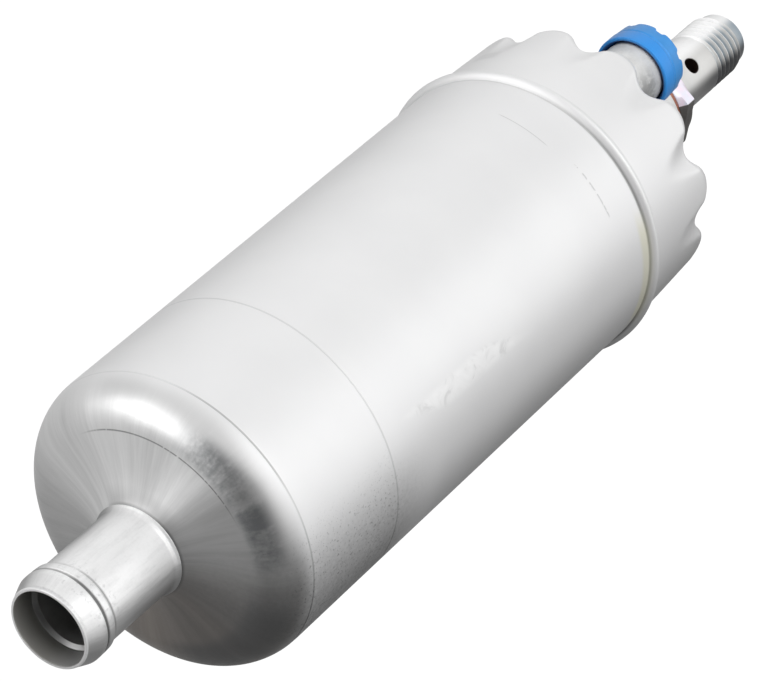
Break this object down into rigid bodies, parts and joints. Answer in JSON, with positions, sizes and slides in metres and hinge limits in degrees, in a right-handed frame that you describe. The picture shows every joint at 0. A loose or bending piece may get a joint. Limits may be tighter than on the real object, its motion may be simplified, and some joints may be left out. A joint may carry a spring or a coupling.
{
  "type": "in-line electric fuel pump",
  "caption": "In-line electric fuel pump: drawn can with hose nozzle, crimped lobed rim, collared terminal, check-valve outlet stud, two-stage gear pump and motor inside.",
  "frame": {"origin": "on the pump axis, midway along the plain band of the can that a clamp grips", "axes": "+X along the pump axis from the hose nozzle to the outlet stud, +Z through the collared terminal, +Y to the left of the flow"},
  "size_m": [0.2052, 0.0564, 0.0564],
  "materials": {
    "can_aluminium": "satin",
    "nozzle_aluminium": "satin",
    "cast_aluminium": "satin",
    "plate_aluminium": "satin",
    "strainer_plastic": "matt",
    "rubber": "matt",
    "bronze": "satin",
    "impeller_plastic": "matt",
    "hard_steel": "ground",
    "bright_steel": "polished",
    "spring_steel": "bright",
    "zinc_steel": "satin",
    "flux_steel": "matt",
    "ferrite": "matt",
    "copper_wire": "gloss",
    "copper": "satin",
    "ivory_plastic": "matt",
    "brass": "satin",
    "carbon": "matt",
    "blue_plastic": "satin",
    "brown_plastic": "matt",
    "seal_plastic": "matt"
  },
  "bodies": {
    "housing": {"casing": "can_aluminium", "inlet_nozzle": "nozzle_aluminium", "inlet_strainer": "strainer_plastic", "pack_cushion": "rubber", "inlet_plate": "plate_aluminium", "front_bush": "bronze", "impeller_housing": "plate_aluminium", "rotor_housing": "hard_steel", "pressure_plate": "plate_aluminium", "relief_spring": "spring_steel", "pump_screws": "zinc_steel", "flux_ring": "flux_steel", "magnets": "ferrite", "magnet_clips": "spring_steel", "brush_plate": "ivory_plastic", "brush_guides": "brass", "brush_spring_positive": "spring_steel", "brush_spring_negative": "spring_steel", "contact_strips": "brass", "rear_bush": "bronze", "end_cap": "cast_aluminium", "cap_seal": "rubber", "terminal_collar": "blue_plastic", "terminal_sleeves": "ivory_plastic", "upper_terminal": "zinc_steel", "lower_terminal": "zinc_steel", "lower_insulator": "brown_plastic", "terminal_washers": "zinc_steel", "terminal_nuts": "zinc_steel", "sealing_washer": "copper", "outlet_stud": "zinc_steel", "valve_seat": "brass", "check_spring": "spring_steel"},
    "armature": {"armature_shaft": "bright_steel", "armature_core": "flux_steel", "windings": "copper_wire", "commutator_hub": "impeller_plastic", "commutator_bars": "copper", "impeller": "impeller_plastic", "inner_rotor": "hard_steel"},
    "gear_ring": {"outer_rotor": "hard_steel"},
    "upper_brush": {"brush_positive": "carbon"},
    "lower_brush": {"brush_negative": "carbon"},
    "relief": {"relief_ball": "bright_steel"},
    "check": {"check_valve": "seal_plastic"}
  },
  "joints": [
    {"name": "armature_spin", "type": "hinge", "parent": "housing", "child": "armature", "pos_m": [0, 0, 0], "axis": [1, 0, 0], "continuous": true},
    {"name": "gear_ring_spin", "type": "hinge", "parent": "housing", "child": "gear_ring", "pos_m": [0, 0, 0.0015], "axis": [1, 0, 0], "continuous": true},
    {"name": "upper_brush_slide", "type": "slide", "parent": "housing", "child": "upper_brush", "axis": [0, 0, 1], "range_m": [0, 0.003], "stiffness_N_per_m": 250, "springref_m": -0.008, "deforming": ["brush_spring_positive"]},
    {"name": "lower_brush_slide", "type": "slide", "parent": "housing", "child": "lower_brush", "axis": [0, 0, -1], "range_m": [0, 0.003], "stiffness_N_per_m": 250, "springref_m": -0.008, "deforming": ["brush_spring_negative"]},
    {"name": "relief_lift", "type": "slide", "parent": "housing", "child": "relief", "axis": [-1, 0, 0], "range_m": [0, 0.0015], "stiffness_N_per_m": 800, "springref_m": -0.004, "deforming": ["relief_spring"]},
    {"name": "check_lift", "type": "slide", "parent": "housing", "child": "check", "axis": [1, 0, 0], "range_m": [0, 0.0022], "stiffness_N_per_m": 150, "springref_m": -0.01, "deforming": ["check_spring"]}
  ],
  "couplings": [
    {"joint": "gear_ring_spin", "follows": "armature_spin", "ratio": 0.85714}
  ]
}
